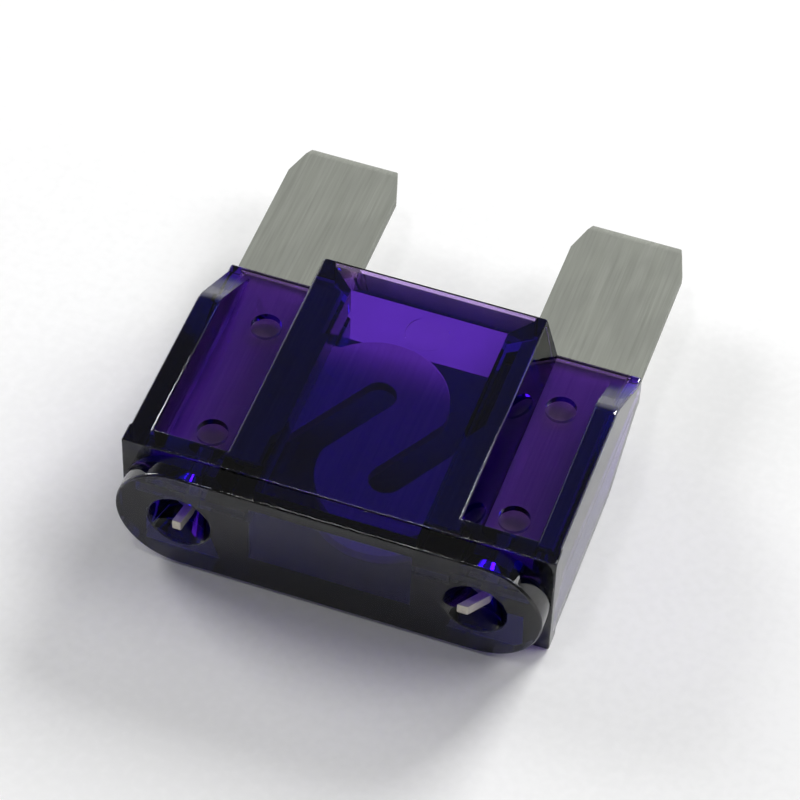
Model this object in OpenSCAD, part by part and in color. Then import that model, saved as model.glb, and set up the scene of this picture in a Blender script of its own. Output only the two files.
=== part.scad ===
// Large automotive blade fuse: a transparent moulded housing staked onto one stamped
// strip, which carries both blades, the S-shaped fusible link and two probe tongues.
//
// Finished frame: X across the two blades, +Y from the head towards the blade tips and
// +Z up through the thickness. The fuse lies flat on Z = 0, and the origin is under the
// middle of its outline. The modules model it round the strip's mid-plane, with Y = 0 at
// the front of the flange, and in_frame() moves the finished piece to its place.

/* [Housing body] */
// Width of the body
body_w = 29.2; // [28.6:0.1:34]
// Thickness of the body
body_t = 8.9; // [8:0.1:12]
// Length of the body, from the front of the flange to the mouth
body_len = 19.4; // [18.8:0.1:24]
// Depth of the full-size flange at the head
flange_depth = 1.5; // [1:0.1:2.4]
// Slope of each side face, from its middle to its upper or lower edge
side_draft = 0.1; // [0:0.05:0.3]
// Thickness of the wings over the blades
wing_t = 2.6; // [2.4:0.1:3.4]

/* [Centre block] */
// Width of the centre block at its top
block_top_w = 15.7; // [14.6:0.1:17]
// Width of the centre block where it meets the wings
block_base_w = 17.5; // [17:0.1:19]
// Diameter of the round ejector mark on the block
mark_d = 2.9; // [1.5:0.1:4]
// Depth of the ejector mark
mark_depth = 0.06; // [0.02:0.01:0.2]
// Distance of the ejector mark from the flange's front
mark_y = 15.3; // [8:0.1:16.5]
// Distance of the ejector mark from the centre line
mark_x = 0.8; // [-3:0.1:3]

/* [Side rails] */
// Width of a rail at its top
rail_w = 1.55; // [1.2:0.05:2.2]
// Slope of a rail's inner wall over its height
rail_draft = 0.1; // [0:0.05:0.3]
// Length of a rail at full height, from the flange's front
rail_len = 13.5; // [8:0.1:15]
// Distance from the flange's front to where the rail's end slope meets the wing
rail_slope_end = 18.7; // [16:0.1:18.8]
// Radius where a rail's top runs into its end slope
rail_blend_r = 2.5; // [1:0.1:4]

/* [Chamber] */
// Inner width of the chamber round the link
chamber_w = 11; // [10:0.1:11.6]
// Thickness of the chamber's two broad walls
chamber_wall = 2; // [1.7:0.05:2.2]
// Thickness of the head wall in front of the chamber
head_wall = 1.6; // [1.2:0.1:2]
// How far the chamfer at the mouth opens the chamber out on each side
mouth_chamfer = 1.2; // [0.8:0.05:1.3]
// Length of that chamfer
mouth_chamfer_len = 0.8; // [0.6:0.05:1.2]
// Length of the straight lip past the chamfer
mouth_lip = 0.5; // [0.3:0.05:0.8]

/* [Head plate] */
// Step from the flange's edge to the head plate's edge, all round
plate_inset = 0.15; // [0:0.05:0.6]
// How far the head plate stands out from the flange
plate_depth = 1.8; // [1.2:0.1:2.4]

/* [Probe holes] */
// Distance between the centres of the two probe holes
probe_pitch = 20; // [19.4:0.1:20.6]
// Diameter of a probe hole at the head's face
probe_mouth_d = 4.3; // [3.6:0.1:5]
// Depth of a probe hole, down to its flat floor
probe_depth = 2.1; // [1.6:0.1:2.6]
// Gap between a tongue's root and the rim of the hole's floor
probe_gap = 0.2; // [0.15:0.05:0.4]

/* [Stakes] */
// Diameter of the hot-staked recesses over the blades
stake_d = 2.1; // [1.8:0.1:2.8]
// Depth of a stake recess
stake_depth = 0.5; // [0.2:0.05:0.55]
// Distance from the flange's front to the first pair of stakes
stake_first = 5.05; // [4.6:0.05:6]
// Distance between the stakes along a blade
stake_pitch = 9.85; // [7:0.05:10.5]

/* [Metal strip] */
// Thickness of the strip
strip_t = 0.8; // [0.6:0.05:1]
// Clear gap between the two blades
blade_gap = 12.7; // [12.4:0.1:13.4]
// Distance from the body's side to a blade's outer edge
blade_inset = 0.25; // [0.1:0.05:0.6]
// Length of a blade outside the body
blade_reach = 13.1; // [10:0.1:16]
// Thickness of plastic beside the strip, inside the body
side_wall = 0.85; // [0.6:0.05:1.2]
// Distance from the flange's front to the strip's head end
strip_head = 2.8; // [2.4:0.1:3.2]
// Width of the long taper on each corner of a blade's tip
taper_w = 0.8; // [0.4:0.1:1.4]
// Length of that taper
taper_len = 2.6; // [1.5:0.1:4]
// Length of the coined bevel across a blade's tip
bevel_len = 0.7; // [0.3:0.1:1.2]
// Depth of the coined bevel on each face
bevel_t = 0.22; // [0.1:0.02:0.28]

/* [Fusible link] */
// Distance from the flange's front to the middle of the link
link_y = 8.45; // [8.3:0.05:9]
// Sideways set of the link from the centre line
link_set = 0.2; // [-0.3:0.05:0.3]
// Width of the link's slanting middle bar
link_w = 3.4; // [2.6:0.1:3.6]
// Width of the two slots that shape the link
slot_w = 2.3; // [1.8:0.1:2.5]
// Angle of the slots and the middle bar
slot_angle = 59.4; // [56:0.2:62]
// Reach of each slot's round end past the middle, along the slot
slot_reach = 2.1; // [1.6:0.1:2.4]
// Extra width of the two outer arcs
arc_extra = 0.45; // [0.2:0.05:0.5]
// Radius where an outer arc runs into the middle bar
arc_blend_r = 1.5; // [0.8:0.1:1.7]
// Distance from the link's middle to the far edge of each neck
neck_reach = 6.35; // [5.8:0.05:6.6]

/* [Probe tongues] */
// Width of a tongue
tongue_w = 0.6; // [0.5:0.05:0.9]
// How far a tongue's tip stands out of the head's face
tongue_proud = 0.3; // [0:0.05:0.6]
// Distance from the flange's front to a tongue's bend, towards the face
bend_reach = 0.55; // [0.2:0.05:1]
// Sideways set of the left tongue from its hole's centre
left_set = 0.2; // [-0.3:0.05:0.4]
// Sideways set of the right tongue from its hole's centre
right_set = 0.4; // [-0.3:0.05:0.4]
// Lean of the left tongue's tip
left_lean = 10; // [0:1:20]
// Lean of the right tongue's tip
right_lean = 36; // [0:1:40]

/* [Fits] */
// Gap between the strip's faces and the housing
face_gap = 0.04; // [0.03:0.01:0.12]
// Gap between the strip's edges and the housing
edge_gap = 0.2; // [0.1:0.05:0.3]
// Gap between a stake's peg and its hole in the blade
peg_gap = 0.05; // [0.05:0.05:0.2]

/* [Hidden] */
$fn = 96;
OVER = 1; // how far a cutting shape runs past the face that it cuts
LAP = 0.1; // how far two shapes that join up overlap
SIDES = [-1, 1];

// Overall length and the place of Y = 0 in the finished frame
overall_len = tongue_proud + plate_depth + body_len + blade_reach;
flange_front = tongue_proud + plate_depth - overall_len / 2;

// Heights above the strip's mid-plane
half_t = body_t / 2;
wing_z = wing_t / 2;
chamber_z = half_t - chamber_wall;
pocket_z = strip_t / 2 + face_gap;

// Places along Y and X
head_face = -plate_depth;
chamber_front = head_face + head_wall;
pocket_front = strip_head - edge_gap;
pocket_half = body_w / 2 - side_wall;
root_outer = pocket_half - edge_gap;
blade_inner = blade_gap / 2;
blade_w = body_w / 2 - blade_inset - blade_inner;
blade_x = blade_inner + blade_w / 2;
tip_y = body_len + blade_reach;
rail_top_x = body_w / 2 - side_draft - rail_w;
rail_base_x = rail_top_x - rail_draft;

// Floor of a probe hole, round the larger set of the two tongues
tongue_diag = norm([tongue_w, strip_t]) / 2;
probe_inner_r = max(abs(left_set), abs(right_set)) + tongue_diag + probe_gap;

// Stakes: the peg fills most of its hole in the blade
stake_hole_r = stake_d / 2;
peg_r = stake_hole_r - peg_gap;
stake_places = [for (side = SIDES, step = [0, 1]) [side * blade_x, stake_first + step * stake_pitch]];

// Link: radius and place of the outer arcs, measured along and across the slots
slot_r = slot_w / 2;
slot_offset = (link_w + slot_w) / 2;
arc_r = slot_r + link_w + arc_extra;
arc_reach = slot_reach - arc_extra;

// How far across from the link's middle each neck ends, within the blade's root
neck_end = blade_inner + OVER;

function block_x(z) =
    (block_base_w + (block_top_w - block_base_w) * (z - wing_z) / (half_t - wing_z)) / 2;
function rail_x(z) = rail_base_x + rail_draft * (z - wing_z) / (half_t - wing_z);

// A point of the link, from its distances along and across the slots
function link_point(along, across) = [
    along * cos(slot_angle) - across * sin(slot_angle),
    along * sin(slot_angle) + across * cos(slot_angle)
];

module in_frame() {
    translate([0, flange_front, half_t]) children();
}

// Extrudes an outline drawn in X and Z from one place along Y to another
module along_y(from, to) {
    translate([0, to, 0]) rotate([90, 0, 0]) linear_extrude(height = to - from) children();
}

// Extrudes an outline drawn in Y and Z from one place along X to another
module along_x(from, to) {
    translate([from, 0, 0]) rotate([90, 0, 90]) linear_extrude(height = to - from) children();
}

module both_sides() {
    for (side = [0, 1]) mirror([side, 0, 0]) children();
}

module both_faces() {
    for (face = [0, 1]) mirror([0, 0, face]) children();
}

// Outline of the body seen from the head, with the parting line at mid-height
module body_outline() {
    polygon([
        [-body_w / 2, 0], [-body_w / 2 + side_draft, half_t], [body_w / 2 - side_draft, half_t],
        [body_w / 2, 0], [body_w / 2 - side_draft, -half_t], [-body_w / 2 + side_draft, -half_t]
    ]);
}

// The hollow between the centre block and a rail, over one wing
module wing_channel() {
    cut_z = half_t + OVER;
    along_y(flange_depth, body_len + OVER)
        polygon([
            [block_x(wing_z), wing_z], [block_x(cut_z), cut_z],
            [rail_x(cut_z), cut_z], [rail_x(wing_z), wing_z]
        ]);
}

// What is cut away above the slope at the end of a rail, up to the round that leads into it
module rail_end_cut() {
    slope = atan((half_t - wing_z) / (rail_slope_end - rail_len));
    touch = rail_blend_r * tan(slope / 2);
    blend_y = rail_len - touch;
    along_x(rail_base_x - LAP, body_w / 2 + OVER) difference() {
        polygon([
            [blend_y, half_t + OVER], [blend_y, half_t],
            [rail_len + touch * cos(slope), half_t - touch * sin(slope)], [rail_slope_end, wing_z],
            [body_len + OVER, wing_z], [body_len + OVER, half_t + OVER]
        ]);
        translate([blend_y, half_t - rail_blend_r]) circle(r = rail_blend_r);
    }
}

// Round-ended plate at the head
module head_plate() {
    plate_h = body_t - 2 * plate_inset;
    end_x = (body_w - body_t) / 2;
    along_y(head_face, LAP) {
        square([2 * end_x, plate_h], center = true);
        for (side = SIDES) translate([side * end_x, 0]) circle(d = plate_h);
    }
}

module flange() {
    translate([-body_w / 2, 0, -half_t]) cube([body_w, flange_depth, body_t]);
}

module body_shell() {
    head_plate();
    flange();
    difference() {
        along_y(0, body_len) body_outline();
        both_sides() both_faces() {
            wing_channel();
            rail_end_cut();
        }
    }
}

// Chamber round the link, with a chamfer and a straight lip on all four sides of its mouth
module chamber() {
    lip_start = body_len - mouth_lip;
    chamfer_start = lip_start - mouth_chamfer_len;
    open_x = chamber_w / 2 + mouth_chamfer;
    open_z = chamber_z + mouth_chamfer;
    translate([-chamber_w / 2, chamber_front, -chamber_z])
        cube([chamber_w, lip_start - chamber_front, 2 * chamber_z]);
    intersection() {
        linear_extrude(height = body_t, center = true)
            polygon([
                [-chamber_w / 2, chamfer_start], [chamber_w / 2, chamfer_start],
                [open_x, lip_start], [open_x, body_len + OVER],
                [-open_x, body_len + OVER], [-open_x, lip_start]
            ]);
        along_x(-body_w / 2, body_w / 2)
            polygon([
                [chamfer_start, -chamber_z], [chamfer_start, chamber_z],
                [lip_start, open_z], [body_len + OVER, open_z],
                [body_len + OVER, -open_z], [lip_start, -open_z]
            ]);
    }
}

// Flat slot that the strip slides into from the mouth
module strip_pocket() {
    translate([-pocket_half, pocket_front, -pocket_z])
        cube([2 * pocket_half, body_len - pocket_front + OVER, 2 * pocket_z]);
}

// Room in the pocket's head end for the right neck, which reaches further than the blades
module neck_way() {
    front_y = min(link_y - neck_reach - edge_gap, pocket_front);
    inner_x = chamber_w / 2 - LAP;
    translate([inner_x, front_y, -pocket_z])
        cube([link_set + neck_end + edge_gap - inner_x, pocket_front - front_y + LAP, 2 * pocket_z]);
}

// Tapered hole in the head's face, over a tongue
module probe_hole() {
    taper = (probe_mouth_d / 2 - probe_inner_r) / probe_depth;
    translate([probe_pitch / 2, head_face + probe_depth, 0])
        rotate([90, 0, 0])
            cylinder(
                h = probe_depth + OVER,
                r1 = probe_inner_r,
                r2 = probe_mouth_d / 2 + taper * OVER
            );
}

// Square way for a tongue, from the strip's pocket to the floor of its probe hole
module tongue_way(side, set) {
    way_w = tongue_w + 2 * edge_gap;
    floor_y = head_face + probe_depth;
    translate([side * probe_pitch / 2 + set - way_w / 2, floor_y - LAP, -pocket_z])
        cube([way_w, pocket_front - floor_y + 2 * LAP, 2 * pocket_z]);
}

module stake_recesses() {
    for (place = stake_places)
        translate([place[0], place[1], wing_z - stake_depth]) cylinder(h = half_t, r = stake_hole_r);
}

// Pegs of plastic through the holes in the blades, joining the wing's two skins
module stake_pegs() {
    for (place = stake_places)
        translate([place[0], place[1], 0]) cylinder(h = 2 * pocket_z + face_gap, r = peg_r, center = true);
}

module ejector_mark() {
    translate([mark_x, mark_y, half_t - mark_depth]) cylinder(h = OVER, d = mark_d);
}

module housing() {
    color([0.29, 0.12, 0.67, 0.6]) in_frame() {
        difference() {
            body_shell();
            chamber();
            strip_pocket();
            neck_way();
            both_sides() probe_hole();
            tongue_way(-1, left_set);
            tongue_way(1, right_set);
            both_faces() stake_recesses();
            ejector_mark();
        }
        stake_pegs();
    }
}

// Right-hand blade: the tapered part outside the body and the root inside it
module blade_outline() {
    outer = blade_inner + blade_w;
    polygon([
        [blade_inner, strip_head], [root_outer, strip_head],
        [root_outer, body_len + edge_gap], [outer, body_len + edge_gap],
        [outer, tip_y - taper_len], [outer - taper_w, tip_y],
        [blade_inner + taper_w, tip_y], [blade_inner, tip_y - taper_len]
    ]);
}

// Neck that joins the left blade's root to the upper arc, before the slot trims it
module neck_outline() {
    root_x = -neck_end;
    root_along = (root_x + slot_offset * sin(slot_angle)) / cos(slot_angle);
    inside = link_point(arc_reach, slot_offset);
    polygon([
        inside, link_point(root_along, slot_offset),
        [root_x, neck_reach], [inside[0] - arc_r / 2, neck_reach]
    ]);
}

// What is taken off where the outer arc meets the middle bar, to leave a round corner
module arc_corner() {
    blend_across = arc_blend_r - link_w / 2;
    rise = sqrt(pow(arc_r - arc_blend_r, 2) - pow(slot_offset - blend_across, 2));
    blend_along = arc_reach + rise;
    scale_out = arc_r / (arc_r - arc_blend_r);
    touch_along = arc_reach + rise * scale_out;
    touch_across = slot_offset + (blend_across - slot_offset) * scale_out;
    rotate(slot_angle) difference() {
        polygon([
            [blend_along, blend_across], [blend_along, -link_w / 2 - OVER],
            [touch_along + OVER, touch_across - OVER], [touch_along, touch_across]
        ]);
        translate([blend_along, blend_across]) circle(r = arc_blend_r);
    }
}

// Half of the link: the upper arc and its neck, without the slots
module half_link() {
    rotate(slot_angle) translate([arc_reach, slot_offset]) circle(r = arc_r);
    neck_outline();
}

// Slot beside the middle bar, open at its lower end
module link_slot() {
    rotate(slot_angle) translate([slot_reach, slot_offset]) {
        circle(r = slot_r);
        translate([-3 * arc_r, -slot_r]) square([3 * arc_r, slot_w]);
    }
}

module link_outline() {
    translate([link_set, link_y]) difference() {
        for (turn = [0, 180]) rotate(turn) half_link();
        for (turn = [0, 180]) rotate(turn) {
            link_slot();
            arc_corner();
        }
    }
}

// Coined bevel across a blade's tip, as a wedge cut from one face
module tip_bevel() {
    along_x(blade_inner - OVER, blade_inner + blade_w + OVER)
        polygon([
            [tip_y - bevel_len, strip_t / 2], [tip_y, strip_t / 2 - bevel_t],
            [tip_y + OVER, strip_t / 2 - bevel_t], [tip_y + OVER, strip_t / 2 + OVER],
            [tip_y - bevel_len, strip_t / 2 + OVER]
        ]);
}

// Tongue from the strip's head end into its probe hole, bent over near the tip
module probe_tongue(side, set, lean) {
    tip_reach = -head_face + tongue_proud;
    root_x = side * probe_pitch / 2 + set;
    lean_len = (tip_reach + OVER) / cos(lean);
    intersection() {
        linear_extrude(height = strip_t, center = true) translate([root_x, 0]) {
            translate([-tongue_w / 2, -bend_reach]) square([tongue_w, strip_head + bend_reach + edge_gap]);
            translate([0, -bend_reach]) {
                circle(d = tongue_w);
                rotate(-lean) translate([-tongue_w / 2, -lean_len]) square([tongue_w, lean_len]);
            }
        }
        translate([-body_w / 2, -tip_reach, -strip_t]) cube([body_w, tip_reach + strip_head + OVER, 2 * strip_t]);
    }
}

module fuse_element() {
    color([0.66, 0.66, 0.62]) in_frame() {
        difference() {
            linear_extrude(height = strip_t, center = true) {
                both_sides() blade_outline();
                link_outline();
            }
            both_sides() both_faces() tip_bevel();
            for (place = stake_places)
                translate([place[0], place[1], 0]) cylinder(h = 2 * strip_t, r = stake_hole_r, center = true);
        }
        probe_tongue(-1, left_set, left_lean);
        probe_tongue(1, right_set, right_lean);
    }
}

housing();
fuse_element();
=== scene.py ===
"""Looks of a large automotive blade fuse: clear violet housing round one stamped metal strip."""

import math

import bmesh
import bpy
from mathutils import Matrix, Vector


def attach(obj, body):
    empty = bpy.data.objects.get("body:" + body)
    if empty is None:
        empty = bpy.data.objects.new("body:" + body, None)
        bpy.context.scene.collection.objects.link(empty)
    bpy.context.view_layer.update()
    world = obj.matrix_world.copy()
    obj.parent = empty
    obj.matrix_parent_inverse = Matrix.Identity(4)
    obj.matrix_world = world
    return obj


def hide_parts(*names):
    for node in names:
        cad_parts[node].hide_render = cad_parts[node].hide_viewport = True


MM = 0.001

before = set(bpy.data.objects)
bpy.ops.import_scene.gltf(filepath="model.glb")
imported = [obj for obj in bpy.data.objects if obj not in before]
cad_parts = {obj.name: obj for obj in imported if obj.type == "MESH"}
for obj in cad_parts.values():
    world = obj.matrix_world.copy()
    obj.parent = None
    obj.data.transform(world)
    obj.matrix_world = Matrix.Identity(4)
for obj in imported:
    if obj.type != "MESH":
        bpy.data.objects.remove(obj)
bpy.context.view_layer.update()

# Places of the part's own faces in the shared frame, in millimetres
MIDDLE_Z = 4.45
TOP_Z = 8.9
HEAD_FACE_Y = -17.0
FLANGE_FRONT_Y = -15.2
MOUTH_Y = 4.2
PROBE_HOLE_X = 10.0

# Reaches that tell one feature's edges from the edges beside them, in millimetres
SNAP = 0.02
OUTER_X = 14.2
PROBE_HOLE_REACH = 2.4
MARK_PLACE = (0.8, 0.1)
MARK_REACH = 1.5
BLOCK_HALF_WIDTH = 7.5
RIM_HALF_HEIGHT = 4.1

# The land past the chamber's chamfer, and how far out and how steeply the chamfer is carried on
LAND_START_Y = 3.7
LAND_X = 6.7
LAND_Z = 3.65
LIP_GROWTH = 0.3
CHAMFER_SLOPE = 0.667

# Stakes over the blades: their places, their hidden walls, and the floors of their recesses
STAKE_X = 10.35
STAKE_Y = (-10.15, -0.3)
STAKE_R = 1.1
STAKE_HALF = 0.45
STAKE_FLOOR_R = 1.03
STAKE_FLOOR_Z = 0.8
STAKE_FADE = 0.03
STAKE_FLOOR_SLACK = (0.02, 0.04)

# Where the blades come out of the plastic, turn rougher, and change from a lighter colour painted
# as light inside the plastic to a darker colour painted as shade on the open blades
OPEN_Y = (3.2, 4.4)

# Joining the triangles of a CAD mesh and finding its edges
JOIN_DISTANCE = 0.0005
FLAT_ANGLE = math.radians(0.3)
SHARP_ANGLE = math.radians(20)
SMOOTH_ANGLE = math.radians(40)
WALL_TILT = 0.1

# Rounding of the two pieces in millimetres, and the share that each kind of moulded edge takes
PLASTIC_ROUND = 0.4
STRIP_ROUND = 0.06
MARK_SHARE = 0.06
PROBE_HOLE_SHARE = 0.25
HEAD_FACE_SHARE = 0.5
RIM_SHARE = 0.4
MOUTH_SHARE = 0.65
FLANGE_SHARE = 0.3
OUTSIDE_SHARE = 0.45

# Colour and roughness of each surface, at the low and the high end of its unevenness
CLEAR_LOOK = {
    "Low Colour": (0.96, 0.95, 0.97, 1.0),
    "High Colour": (1.0, 1.0, 1.0, 1.0),
    "Low Roughness": 0.0,
    "High Roughness": 0.03,
}
# Stake recess floors: a matt finish, and a darker colour that is painted shade over the closed
# holes in the blades
STAKED_PAINTED_SHADE_LOOK = {
    "Low Colour": (0.46, 0.46, 0.48, 1.0),
    "High Colour": (0.54, 0.54, 0.56, 1.0),
    "Low Roughness": 0.15,
    "High Roughness": 0.25,
}
# The strip inside the plastic: painted lighter, as painted light standing in for light that reaches
# it through the plastic
COVERED_PAINTED_LIGHT_LOOK = {
    "Low Colour": (0.66, 0.62, 0.55, 1.0),
    "High Colour": (0.74, 0.70, 0.62, 1.0),
    "Low Roughness": 0.6,
    "High Roughness": 0.72,
}
# The open blades: the same plating painted darker as painted shade, and rougher
OPEN_PAINTED_SHADE_LOOK = {
    "Low Colour": (0.27, 0.28, 0.25, 1.0),
    "High Colour": (0.32, 0.33, 0.30, 1.0),
    "Low Roughness": 0.74,
    "High Roughness": 0.86,
}
PAPER_LOOK = {
    "Low Colour": (0.90, 0.90, 0.90, 1.0),
    "High Colour": (0.93, 0.93, 0.93, 1.0),
    "Low Roughness": 0.85,
    "High Roughness": 0.95,
}

# The violet inside the plastic: its colour, how fast it deepens, and how the plastic bends light
VIOLET = (0.525, 0.19, 0.87, 1.0)
VIOLET_DENSITY = 2000.0
PLASTIC_IOR = 1.58

# Unevenness shared by all surfaces: fineness of its two noises, and the spans of them in use
GRAIN_DETAIL = 3.0
PATCH_DETAIL = 4.0
COLOUR_SPAN = (0.75, 1.25)
ROUGHNESS_SPAN = (0.3, 0.7)

# The floor lies just clear of the part's flat faces, so that light comes through them
FLOOR_Z = -0.03
FLOOR_SIZE = 4000.0

# Lamps: name, place, width and height in millimetres, and power in watts
LAMPS = (
    ("key_softbox", (250, 845, 470), (400, 300), 9.3),
    ("right_softbox", (625, 292, 579), (420, 420), 2.6),
    ("left_softbox", (-650, 250, 350), (300, 300), 2.8),
    ("top_glint", (-176, -153, 868), (160, 80), 0.6),
)

# Light all round: a band over the horizon that is brightest behind the part, and a dim even glow
BAND_HEIGHT = (0.2, 0.5)
BAND_TURN = (-0.3, 0.3)
BAND_FRONT = 0.1
BAND_BACK = 1.0
BAND_STRENGTH = 0.9
EVEN_STRENGTH = 0.12

# Camera, fitted to the photograph's 800 by 800 frame: degrees, and millimetres
CAMERA_AZIMUTH = 17.5482
CAMERA_ELEVATION = 49.4364
CAMERA_ROLL = 2.3276
CAMERA_PLACE = (45.645, -147.052, 181.855)
CAMERA_LENS = 158.793
CAMERA_SENSOR = 36.0
CAMERA_RANGE = (10.0, 10000.0)


def clear_selection():
    if bpy.context.object and bpy.context.object.mode != "OBJECT":
        bpy.ops.object.mode_set(mode="OBJECT")
    bpy.ops.object.select_all(action="DESELECT")


def make_active(piece):
    clear_selection()
    piece.select_set(True)
    bpy.context.view_layer.objects.active = piece


def moulding_from(node, name):
    """A copy of a CAD node's mesh with its loose triangles joined and its flat faces whole."""
    piece = bpy.data.objects.new(name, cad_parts[node].data.copy())
    piece.data.name = name
    bpy.context.scene.collection.objects.link(piece)
    make_active(piece)
    bpy.ops.object.mode_set(mode="EDIT")
    bpy.ops.mesh.select_all(action="SELECT")
    bpy.ops.mesh.remove_doubles(threshold=JOIN_DISTANCE * MM)
    bpy.ops.mesh.dissolve_limited(angle_limit=FLAT_ANGLE)
    bpy.ops.object.mode_set(mode="OBJECT")
    bpy.ops.mesh.customdata_custom_splitnormals_clear()
    piece.data.materials.clear()
    return piece


def close_stakes(piece):
    """Takes out the hidden walls of the stakes and closes the flat faces over them."""
    make_active(piece)
    bpy.ops.object.mode_set(mode="EDIT")
    bpy.ops.mesh.select_mode(type="FACE")
    bpy.ops.mesh.select_all(action="DESELECT")
    bpy.ops.object.mode_set(mode="OBJECT")
    for face in piece.data.polygons:
        x, y, z = face.center / MM
        away = min(math.hypot(abs(x) - STAKE_X, y - place) for place in STAKE_Y)
        inside = away < STAKE_R and abs(z - MIDDLE_Z) < STAKE_HALF
        face.select = inside and abs(face.normal.z) < WALL_TILT
    bpy.ops.object.mode_set(mode="EDIT")
    bpy.ops.mesh.delete(type="FACE")
    bpy.ops.mesh.select_all(action="SELECT")
    bpy.ops.mesh.fill_holes(sides=0)
    bpy.ops.mesh.select_all(action="SELECT")
    bpy.ops.mesh.normals_make_consistent(inside=False)
    bpy.ops.mesh.dissolve_limited(angle_limit=FLAT_ANGLE)
    bpy.ops.object.mode_set(mode="OBJECT")


def thin_lip(piece):
    """Carries the chamber's chamfer further out, so that only a thin lip is left at its mouth."""
    for vert in piece.data.vertices:
        x, y, z = vert.co / MM
        from_middle = abs(z - MIDDLE_Z)
        if y < LAND_START_Y - SNAP or from_middle > RIM_HALF_HEIGHT or abs(x) > BLOCK_HALF_WIDTH:
            continue
        if abs(y - LAND_START_Y) < SNAP:
            vert.co.y += LIP_GROWTH * CHAMFER_SLOPE * MM
        if abs(from_middle - LAND_Z) < SNAP:
            vert.co.z += math.copysign(LIP_GROWTH, z - MIDDLE_Z) * MM
        if abs(abs(x) - LAND_X) < SNAP:
            vert.co.x += math.copysign(LIP_GROWTH, x) * MM


def round_edges(piece, width, segments, share_of):
    """Rounds the piece's sharp edges. share_of gives the share of the width that an edge takes."""
    mesh = piece.data
    form = bmesh.new()
    form.from_mesh(mesh)
    layer = form.edges.layers.float.new("bevel_weight_edge")
    for edge in form.edges:
        if len(edge.link_faces) != 2:
            continue
        angle = edge.calc_face_angle_signed(0.0)
        if abs(angle) < SHARP_ANGLE:
            continue
        first, second = (vert.co / MM for vert in edge.verts)
        edge[layer] = share_of(first, second, angle > 0)
    form.to_mesh(mesh)
    form.free()
    bevel = piece.modifiers.new("rounded_edges", "BEVEL")
    bevel.width = width * MM
    bevel.segments = segments
    bevel.limit_method = "WEIGHT"
    bevel.use_clamp_overlap = False
    bevel.miter_outer = "MITER_SHARP"
    make_active(piece)
    bpy.ops.object.modifier_apply(modifier=bevel.name)
    for vert in mesh.vertices:
        vert.co.z = min(max(vert.co.z, 0.0), TOP_Z * MM)
    bpy.ops.object.shade_smooth_by_angle(angle=SMOOTH_ANGLE)
    flat_first = piece.modifiers.new("flat_faces_first", "WEIGHTED_NORMAL")
    flat_first.keep_sharp = True
    flat_first.weight = 100
    bpy.ops.object.modifier_apply(modifier=flat_first.name)


def housing_edge(first, second, convex):
    """How round a moulded edge is. The open end's outline is softest, inside corners are crisp."""
    if not convex:
        return 0.0
    ends = (first, second)
    mark_x, mark_y = MARK_PLACE
    if max(math.hypot(end.x - mark_x, end.y - mark_y) for end in ends) < MARK_REACH:
        return MARK_SHARE
    if all(abs(end.y - HEAD_FACE_Y) < SNAP for end in ends):
        from_hole = max(math.hypot(abs(end.x) - PROBE_HOLE_X, end.z - MIDDLE_Z) for end in ends)
        return PROBE_HOLE_SHARE if from_hole < PROBE_HOLE_REACH else HEAD_FACE_SHARE
    if all(abs(end.y - MOUTH_Y) < SNAP for end in ends):
        from_middle = max(abs(end.z - MIDDLE_Z) for end in ends)
        return RIM_SHARE if from_middle < RIM_HALF_HEIGHT else MOUTH_SHARE
    if all(abs(end.y - FLANGE_FRONT_Y) < SNAP for end in ends):
        return FLANGE_SHARE
    at_side = all(abs(end.x) > OUTER_X for end in ends)
    at_face = any(all(abs(end.z - face_z) < SNAP for end in ends) for face_z in (0.0, TOP_Z))
    return OUTSIDE_SHARE if at_side or at_face else 0.0


def strip_edge(first, second, convex):
    """All outer edges of the strip are equally soft, wherever their two ends are."""
    return 1.0 if convex else 0.0


def set_input(node, name, value):
    node.inputs[name].default_value = value


def math_node(tree, operation, *values):
    node = tree.nodes.new("ShaderNodeMath")
    node.operation = operation
    for index, value in enumerate(values):
        if isinstance(value, (int, float)):
            set_input(node, index, value)
        else:
            tree.links.new(value, node.inputs[index])
    return node.outputs["Value"]


def smooth_range(tree, value, low, high, out_low=0.0, out_high=1.0):
    node = tree.nodes.new("ShaderNodeMapRange")
    node.interpolation_type = "SMOOTHSTEP"
    tree.links.new(value, node.inputs["Value"])
    names = ("From Min", "From Max", "To Min", "To Max")
    for name, limit in zip(names, (low, high, out_low, out_high)):
        if isinstance(limit, (int, float)):
            set_input(node, name, limit)
        else:
            tree.links.new(limit, node.inputs[name])
    return node.outputs["Result"]


def mix_colour(tree, share, first, second):
    node = tree.nodes.new("ShaderNodeMix")
    node.data_type = "RGBA"
    tree.links.new(share, node.inputs["Factor"])
    sockets = [socket for socket in node.inputs if socket.type == "RGBA"]
    for socket, colour in zip(sockets, (first, second)):
        if isinstance(colour, tuple):
            socket.default_value = colour
        else:
            tree.links.new(colour, socket)
    return next(socket for socket in node.outputs if socket.type == "RGBA")


def axes_of(tree, coordinates):
    """One output for each axis of the named coordinates."""
    parts = tree.nodes.new("ShaderNodeSeparateXYZ")
    whole = tree.nodes.new("ShaderNodeTexCoord").outputs[coordinates]
    tree.links.new(whole, parts.inputs["Vector"])
    return parts.outputs


def add_sockets(group, direction, sockets):
    for name, kind, value in sockets:
        socket = group.interface.new_socket(name=name, in_out=direction, socket_type=kind)
        if value is not None:
            socket.default_value = value


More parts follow.
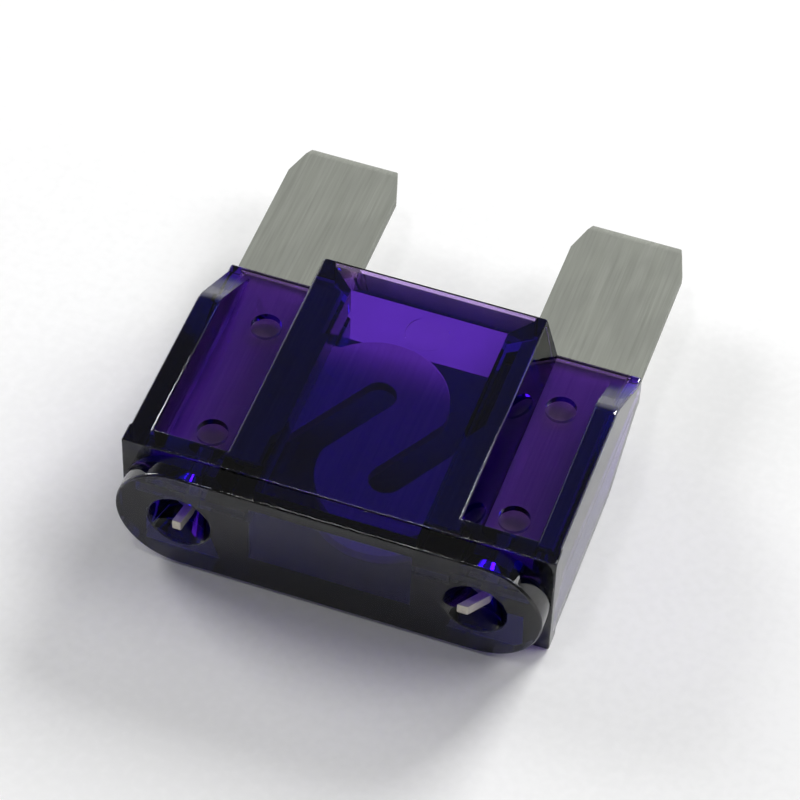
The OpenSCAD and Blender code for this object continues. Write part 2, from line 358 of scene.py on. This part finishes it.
def worked_surface():
    """Grain that may run along one axis, over wider uneven patches. Scales are per metre."""
    group = bpy.data.node_groups.new("worked_surface", "ShaderNodeTree")
    add_sockets(
        group,
        "INPUT",
        (
            ("Low Colour", "NodeSocketColor", (0.5, 0.5, 0.5, 1.0)),
            ("High Colour", "NodeSocketColor", (0.6, 0.6, 0.6, 1.0)),
            ("Grain Scale", "NodeSocketVector", (1000.0, 1000.0, 1000.0)),
            ("Patch Scale", "NodeSocketVector", (300.0, 300.0, 300.0)),
            ("Low Roughness", "NodeSocketFloat", 0.3),
            ("High Roughness", "NodeSocketFloat", 0.5),
        ),
    )
    add_sockets(
        group,
        "OUTPUT",
        (
            ("Colour", "NodeSocketColor", None),
            ("Roughness", "NodeSocketFloat", None),
            ("Height", "NodeSocketFloat", None),
        ),
    )
    nodes, links = group.nodes, group.links
    given = nodes.new("NodeGroupInput").outputs
    made = nodes.new("NodeGroupOutput").inputs
    place = nodes.new("ShaderNodeTexCoord").outputs["Object"]
    layers = []
    for name, detail in (("Grain Scale", GRAIN_DETAIL), ("Patch Scale", PATCH_DETAIL)):
        scaled = nodes.new("ShaderNodeVectorMath")
        scaled.operation = "MULTIPLY"
        links.new(place, scaled.inputs[0])
        links.new(given[name], scaled.inputs[1])
        noise = nodes.new("ShaderNodeTexNoise")
        set_input(noise, "Scale", 1.0)
        set_input(noise, "Detail", detail)
        links.new(scaled.outputs["Vector"], noise.inputs["Vector"])
        layers.append(noise.outputs["Fac"])
    grain, patch = layers
    share = smooth_range(group, math_node(group, "ADD", grain, patch), *COLOUR_SPAN)
    colour = mix_colour(group, share, given["Low Colour"], given["High Colour"])
    rough_ends = (given["Low Roughness"], given["High Roughness"])
    rough = smooth_range(group, patch, *ROUGHNESS_SPAN, *rough_ends)
    links.new(colour, made["Colour"])
    links.new(rough, made["Roughness"])
    links.new(grain, made["Height"])
    return group


SURFACE = worked_surface()


def new_material(name):
    material = bpy.data.materials.new(name)
    material.use_nodes = True
    tree = material.node_tree
    tree.nodes.clear()
    shader = tree.nodes.new("ShaderNodeBsdfPrincipled")
    output = tree.nodes.new("ShaderNodeOutputMaterial")
    tree.links.new(shader.outputs["BSDF"], output.inputs["Surface"])
    return material, shader, output


def add_surface(tree, shader, values, strength, distance):
    """Puts the shared surface on a shader: its colour, roughness and relief."""
    surface = tree.nodes.new("ShaderNodeGroup")
    surface.node_tree = SURFACE
    for name, value in values.items():
        set_input(surface, name, value)
    tree.links.new(surface.outputs["Colour"], shader.inputs["Base Color"])
    tree.links.new(surface.outputs["Roughness"], shader.inputs["Roughness"])
    relief = tree.nodes.new("ShaderNodeBump")
    set_input(relief, "Strength", strength)
    set_input(relief, "Distance", distance * MM)
    tree.links.new(surface.outputs["Height"], relief.inputs["Height"])
    tree.links.new(relief.outputs["Normal"], shader.inputs["Normal"])
    return surface


def blend_looks(tree, surface, share, ranged, first, second):
    """Sets a surface between two looks: its colours by a share, its roughness by a ranged value."""
    for name in ("Low Colour", "High Colour"):
        colour = mix_colour(tree, share, first[name], second[name])
        tree.links.new(colour, surface.inputs[name])
    for name in ("Low Roughness", "High Roughness"):
        rough = smooth_range(tree, *ranged, first[name], second[name])
        tree.links.new(rough, surface.inputs[name])


def stake_floor(tree):
    """One on the floors of the stake recesses, which are matt and carry painted shade, and nothing
    elsewhere.
    """
    place = axes_of(tree, "Object")
    middle_y = (STAKE_Y[0] + STAKE_Y[1]) / 2
    half_y = (STAKE_Y[1] - STAKE_Y[0]) / 2
    folds = (("X", 0.0, STAKE_X), ("Y", middle_y, half_y), ("Z", MIDDLE_Z, STAKE_FLOOR_Z))
    gaps = []
    for axis, middle, half in folds:
        centred = math_node(tree, "SUBTRACT", place[axis], middle * MM)
        folded = math_node(tree, "ABSOLUTE", centred)
        gaps.append(math_node(tree, "SUBTRACT", folded, half * MM))
    gap_x, gap_y, gap_z = gaps
    squares = [math_node(tree, "MULTIPLY", gap, gap) for gap in (gap_x, gap_y)]
    away = math_node(tree, "SQRT", math_node(tree, "ADD", *squares))
    full_r = (STAKE_FLOOR_R - STAKE_FADE) * MM
    in_recess = smooth_range(tree, away, full_r, STAKE_FLOOR_R * MM, 1.0, 0.0)
    off_floor = math_node(tree, "ABSOLUTE", gap_z)
    near, far = STAKE_FLOOR_SLACK
    on_floor = smooth_range(tree, off_floor, near * MM, far * MM, 1.0, 0.0)
    return math_node(tree, "MULTIPLY", in_recess, on_floor)


def violet_plastic():
    """Clear plastic that is violet in its depth, with matt floors in the stake recesses that are
    painted darker as shade.
    """
    material, shader, output = new_material("violet_plastic")
    tree = material.node_tree
    set_input(shader, "Transmission Weight", 1.0)
    set_input(shader, "IOR", PLASTIC_IOR)
    values = {
        "Grain Scale": (900.0, 300.0, 900.0),
        "Patch Scale": (220.0, 160.0, 220.0),
    }
    surface = add_surface(tree, shader, values, strength=0.15, distance=0.02)
    # Painted shade: the recess floors get a darker colour as well as their matt roughness
    stake_floor_and_shade = stake_floor(tree)
    blend_looks(tree, surface, stake_floor_and_shade, (stake_floor_and_shade, 0.0, 1.0), CLEAR_LOOK, STAKED_PAINTED_SHADE_LOOK)
    inside = tree.nodes.new("ShaderNodeVolumeAbsorption")
    set_input(inside, "Color", VIOLET)
    set_input(inside, "Density", VIOLET_DENSITY)
    tree.links.new(inside.outputs["Volume"], output.inputs["Volume"])
    return material


def strip_metal():
    """Tin-plated strip with marks along the blades, rougher where the blades stand in the open; the
    one plating is painted lighter inside the plastic as painted light, and darker on the open
    blades as painted shade.
    """
    material, shader, _ = new_material("strip_metal")
    tree = material.node_tree
    set_input(shader, "Metallic", 1.0)
    values = {
        "Grain Scale": (6500.0, 160.0, 6500.0),
        "Patch Scale": (700.0, 260.0, 700.0),
    }
    surface = add_surface(tree, shader, values, strength=0.25, distance=0.006)
    along = axes_of(tree, "Object")["Y"]
    start_y, end_y = (y * MM for y in OPEN_Y)
    # Painted light and shade: the strip's colour goes from lighter inside the plastic to darker on
    # the open blades
    open_shade_share = smooth_range(tree, along, start_y, end_y)
    blend_looks(tree, surface, open_shade_share, (along, start_y, end_y), COVERED_PAINTED_LIGHT_LOOK, OPEN_PAINTED_SHADE_LOOK)
    return material


def floor_paper():
    """Plain white paper."""
    material, shader, _ = new_material("floor_paper")
    set_input(shader, "Specular IOR Level", 0.2)
    values = {
        "Grain Scale": (1500.0, 1500.0, 1500.0),
        "Patch Scale": (40.0, 40.0, 40.0),
        **PAPER_LOOK,
    }
    add_surface(material.node_tree, shader, values, strength=0.05, distance=0.02)
    return material


def finish_piece(piece, node, material):
    piece.data.materials.append(material)
    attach(piece, "root")
    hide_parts(node)


def add_lamp(name, place, size, power):
    """A softbox that faces the middle of the part."""
    lamp = bpy.data.lights.new(name, "AREA")
    lamp.shape = "RECTANGLE"
    lamp.size, lamp.size_y = (side * MM for side in size)
    lamp.energy = power
    holder = bpy.data.objects.new(name, lamp)
    bpy.context.scene.collection.objects.link(holder)
    here, there = Vector(place) * MM, Vector((0, 0, MIDDLE_Z)) * MM
    holder.location = here
    holder.rotation_mode = "QUATERNION"
    holder.rotation_quaternion = (there - here).to_track_quat("-Z", "Y")


def add_world():
    """Light from all round, strongest low down behind the part."""
    world = bpy.data.worlds.new("studio")
    bpy.context.scene.world = world
    world.use_nodes = True
    tree = world.node_tree
    sky = tree.nodes["Background"]
    set_input(sky, "Color", (1.0, 1.0, 1.0, 1.0))
    direction = axes_of(tree, "Generated")
    low_down = smooth_range(tree, direction["Z"], *BAND_HEIGHT, 1.0, 0.0)
    behind = smooth_range(tree, direction["Y"], *BAND_TURN, BAND_FRONT, BAND_BACK)
    band = math_node(tree, "MULTIPLY", low_down, behind)
    strength = math_node(tree, "MULTIPLY_ADD", band, BAND_STRENGTH, EVEN_STRENGTH)
    tree.links.new(strength, sky.inputs["Strength"])


def add_camera():
    """The photograph's view, from the angles and the place that were fitted to it."""
    camera_data = bpy.data.cameras.new("camera")
    camera_data.lens = CAMERA_LENS
    camera_data.sensor_width = CAMERA_SENSOR
    camera_data.clip_start, camera_data.clip_end = (limit * MM for limit in CAMERA_RANGE)
    camera = bpy.data.objects.new("camera", camera_data)
    bpy.context.scene.collection.objects.link(camera)
    angles = (CAMERA_AZIMUTH, CAMERA_ELEVATION, CAMERA_ROLL)
    azimuth, elevation, roll = map(math.radians, angles)
    back = Vector(
        (
            math.sin(azimuth) * math.cos(elevation),
            -math.cos(azimuth) * math.cos(elevation),
            math.sin(elevation),
        )
    )
    level = Vector((0, 0, 1)).cross(back).normalized()
    upright = back.cross(level)
    right = math.cos(roll) * level + math.sin(roll) * upright
    up = -math.sin(roll) * level + math.cos(roll) * upright
    turn = Matrix((right, up, back)).transposed().to_4x4()
    camera.matrix_world = Matrix.Translation(Vector(CAMERA_PLACE) * MM) @ turn
    bpy.context.scene.camera = camera


# The two pieces
housing = moulding_from("housing", "clear_housing")
close_stakes(housing)
thin_lip(housing)
round_edges(housing, PLASTIC_ROUND, 3, housing_edge)
finish_piece(housing, "housing", violet_plastic())

strip = moulding_from("fuse_element", "stamped_strip")
close_stakes(strip)
round_edges(strip, STRIP_ROUND, 2, strip_edge)
finish_piece(strip, "fuse_element", strip_metal())

# Floor, lamps and camera
clear_selection()
bpy.ops.mesh.primitive_plane_add(size=FLOOR_SIZE * MM, location=(0, 0, FLOOR_Z * MM))
floor = bpy.context.object
floor.name = "floor"
floor.data.materials.append(floor_paper())

for lamp_values in LAMPS:
    add_lamp(*lamp_values)
add_world()
add_camera()

bpy.context.scene.view_settings.view_transform = "Standard"
